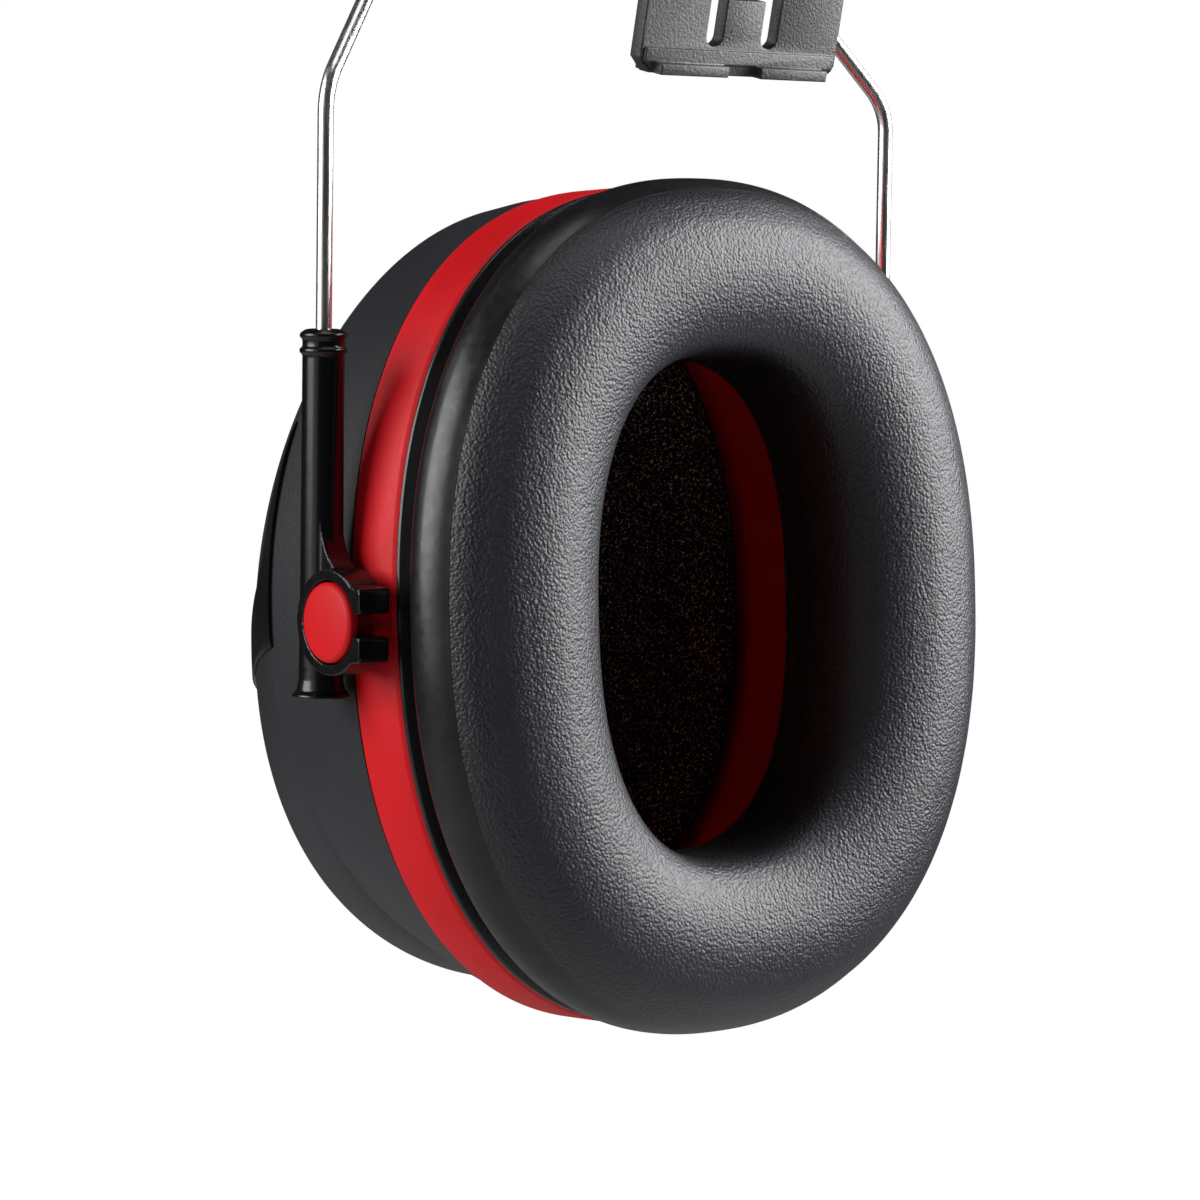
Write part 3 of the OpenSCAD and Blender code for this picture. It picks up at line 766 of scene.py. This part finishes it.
def build_sleeves():
    """The +X sleeve: tube, clip and web fused into one moulding, then its mirror image."""
    axis = np.array([LEG_X, 0, 0])
    foot, top, r = SLEEVE_FOOT, SLEEVE_TOP, SLEEVE_D / 2
    bore = WIRE_R + 0.12
    outer = [(3.45, foot), (3.65, foot + 0.15), (3.6, foot + 0.45), (3.05, foot + 0.95), (2.8, foot + 2.2),
             (2.7, foot + 14), (r, top - 8), (r, top - 3.2), (r + 0.35, top - 3.0), (r + 0.35, top - 2.5),
             (r, top - 2.25), (r, top - 1.3), (r + 0.35, top - 1.05), (r + 0.35, top - 0.6),
             (r, top - 0.35), (r - 0.35, top - 0.1), (1.6, top)]
    tube = skin_rings("tube", lathe_rings([(bore, foot)] + outer + [(bore, top)], axis, "Z"),
                      in_legs_frame, closed=True)
    clip = prism("clip", clip_section(CLIP_R, STUD_HOLE_R, JAW), CLIP_IN, CLIP_STEP + 0.15, "X",
                 in_legs_frame)
    rim = prism("rim", clip_section(CLIP_R, STUD_HEAD_HOLE_R, JAW), CLIP_STEP, CLIP_OUT, "X",
                in_legs_frame)
    web_top, web_half_t, swing = 12.0, 1.7, 7.0
    outline = [(0, 0), (0, web_top)] + arc(swing, 0, -62, 24, (-r - swing + 0.4, web_top)) + [(-7.2, 0)]
    web = prism("web", outline, LEG_X - web_half_t, LEG_X + web_half_t, "X", in_legs_frame)
    hole = [(STUD_HOLE_R, 40), (STUD_HOLE_R, CLIP_STEP + 0.2)]
    cut_hole = skin_rings("hole", lathe_rings(hole, [0, PIVOT_Y, 0], "X"), in_legs_frame)
    moulding = join([tube, clip, rim, web], "right_sleeve_moulding")
    right = fuse(moulding, 0.15, 5)
    bore_out = right.modifiers.new("hole", "BOOLEAN")
    bore_out.operation = "DIFFERENCE"
    bore_out.object = cut_hole
    apply_modifiers(right)
    bpy.data.objects.remove(cut_hole)
    shade(right.data, 50)
    left = mirror_copy(right, "left_sleeve_moulding")
    finish_piece(right, "right_slider", "sleeve", "right_sleeve")
    finish_piece(left, "left_slider", "sleeve", "left_sleeve")


# ---- hard parts taken from the CAD with their edges rounded ----

# Node, body and edge radius in millimetres
ROUNDED = [("helmet_blade", "helmet_arm", 0.2), ("arm_body", "helmet_arm", 0.4),
           ("arm_cover", "helmet_arm", 0.35), ("cover_screws", "helmet_arm", 0.12),
           ("leaf_spring", "helmet_arm", 0.08), ("hinge_cam", "yoke", 0.2), ("leg_end_stops", "yoke", 0.08)]


def rounded_copy(node, body, edge):
    """A copy of a CAD node's mesh with its sharp edges rounded by edge millimetres."""
    bm = bmesh.new()
    bm.from_mesh(frame["nodes"][node].data)
    bmesh.ops.remove_doubles(bm, verts=bm.verts, dist=0.001 * MM)
    bmesh.ops.dissolve_limit(bm, angle_limit=math.radians(1), verts=bm.verts, edges=bm.edges)
    sharp = [e for e in bm.edges if len(e.link_faces) == 2 and e.calc_face_angle(0) > math.radians(40)]
    bmesh.ops.bevel(bm, geom=sharp, offset=edge * MM, offset_type="OFFSET", segments=2, profile=0.6,
                    affect="EDGES", clamp_overlap=True)
    bmesh.ops.triangulate(bm, faces=bm.faces)
    mesh = bpy.data.meshes.new(node + "_rounded")
    bm.to_mesh(mesh)
    bm.free()
    shade(mesh, 30)
    return finish_piece(new_object(node + "_rounded", mesh), body, node, node)


def dress_cad_nodes(names):
    for name in names:
        dress(frame["nodes"][name], name)


# ---- camera, floor and light ----

# The camera stands off the cup's left front, level with it, and looks a little down
VIEW_FROM = math.radians(39.78)
VIEW_ABOVE = math.radians(4.84)
VIEW_DISTANCE = 578.4
AIM_DROP = 0.4
VIEW_ROLL = math.radians(0.8)
LENS = 131.46
SENSOR = 36.0
LENS_SHIFT = -0.0112, 0.0037


def build_camera():
    target = in_legs_frame([0, 0, -AIM_DROP])
    back = np.array([-math.sin(VIEW_FROM) * math.cos(VIEW_ABOVE),
                     -math.cos(VIEW_FROM) * math.cos(VIEW_ABOVE), math.sin(VIEW_ABOVE)])
    right = unit(np.cross(-back, [0, 0, 1]))
    up = np.cross(right, -back)
    rolled_right = right * math.cos(VIEW_ROLL) + up * math.sin(VIEW_ROLL)
    rolled_up = up * math.cos(VIEW_ROLL) - right * math.sin(VIEW_ROLL)
    data = bpy.data.cameras.new("camera")
    data.lens = LENS
    data.sensor_width = SENSOR
    data.shift_x, data.shift_y = LENS_SHIFT
    data.clip_end = 50
    camera = bpy.data.objects.new("camera", data)
    place = Matrix.Identity(4)
    for k, column in enumerate((rolled_right, rolled_up, back, (target + back * VIEW_DISTANCE) * MM)):
        for row in range(3):
            place[row][k] = float(column[row])
    camera.matrix_world = place
    bpy.context.scene.collection.objects.link(camera)
    bpy.context.scene.camera = camera


FLOOR_DROP = 0.35
FLOOR_RADIUS = 40
ROOM_LIGHT = 0.03
LAMP_AIM = (0, 0, -0.08)
# Softboxes: name, place in metres, width, height and power in watts
LAMPS = [
    ("near_right", (0.42, -0.26, 0.08), 0.4, 0.4, 5.9),
    ("near_top_right", (0.34, -0.12, 0.32), 0.3, 0.3, 1.0),
    ("left_back", (-1.0, 0.4, 0.3), 0.8, 0.8, 12),
    ("left_panel", (-1.35, 0.0, 0.15), 1.1, 1.1, 2.2),
    ("top", (0.0, -0.1, 0.9), 0.6, 0.6, 2),
]


def area_light(name, place, width, height, power):
    data = bpy.data.lights.new(name, "AREA")
    data.shape = "RECTANGLE"
    data.size = width
    data.size_y = height
    data.energy = power
    lamp = bpy.data.objects.new(name, data)
    toward = unit(np.array(LAMP_AIM) - np.array(place))
    right = unit(np.cross(toward, [0, 0, 1]))
    up = np.cross(right, toward)
    basis = Matrix.Identity(4)
    for k, column in enumerate((right, up, -toward, place)):
        for row in range(3):
            basis[row][k] = float(column[row])
    lamp.matrix_world = basis
    lamp.visible_camera = False
    bpy.context.scene.collection.objects.link(lamp)


def white_for_camera(tree, other, target):
    """Shows plain white to the camera, and leaves the other shader to light the object."""
    path = tree.nodes.new("ShaderNodeLightPath")
    white = tree.nodes.new("ShaderNodeEmission")
    white.inputs["Color"].default_value = (1, 1, 1, 1)
    mix = tree.nodes.new("ShaderNodeMixShader")
    tree.links.new(path.outputs["Is Camera Ray"], mix.inputs[0])
    tree.links.new(other, mix.inputs[1])
    tree.links.new(white.outputs[0], mix.inputs[2])
    tree.links.new(mix.outputs[0], target)


def build_floor():
    bm = bmesh.new()
    bmesh.ops.create_circle(bm, cap_ends=True, segments=96, radius=FLOOR_RADIUS)
    bmesh.ops.translate(bm, verts=bm.verts, vec=(0, 0, cad_low[2] - FLOOR_DROP))
    mesh = bpy.data.meshes.new("floor")
    bm.to_mesh(mesh)
    bm.free()
    floor = new_object("floor", mesh)
    look = Look("floor_paper")
    look.tint(look.noise(40, 2), (0.42, 0.42, 0.42), (0.45, 0.45, 0.45))
    look.set(Roughness=0.8)
    output = look.tree.nodes["Material Output"].inputs["Surface"]
    white_for_camera(look.tree, look.shader.outputs[0], output)
    floor.data.materials.append(look.material)


def build_studio():
    world = bpy.data.worlds.new("studio")
    world.use_nodes = True
    tree = world.node_tree
    room = tree.nodes["Background"]
    room.inputs["Color"].default_value = (0.94, 0.97, 1, 1)
    room.inputs["Strength"].default_value = ROOM_LIGHT
    white_for_camera(tree, room.outputs[0], tree.nodes["World Output"].inputs["Surface"])
    bpy.context.scene.world = world
    bpy.context.scene.view_settings.view_transform = "Standard"
    for lamp in LAMPS:
        area_light(*lamp)


build_camera()
build_outer_casing()
build_wedges()
build_seal()
build_inner_casing()
build_liner()
build_plate()
build_cushion()
build_wire()
build_sleeves()
for node, body, edge in ROUNDED:
    rounded_copy(node, body, edge)
dress_cad_nodes(["damping_layer", "cushion_foam", "cushion_fluid_pad"])
build_floor()
build_studio()
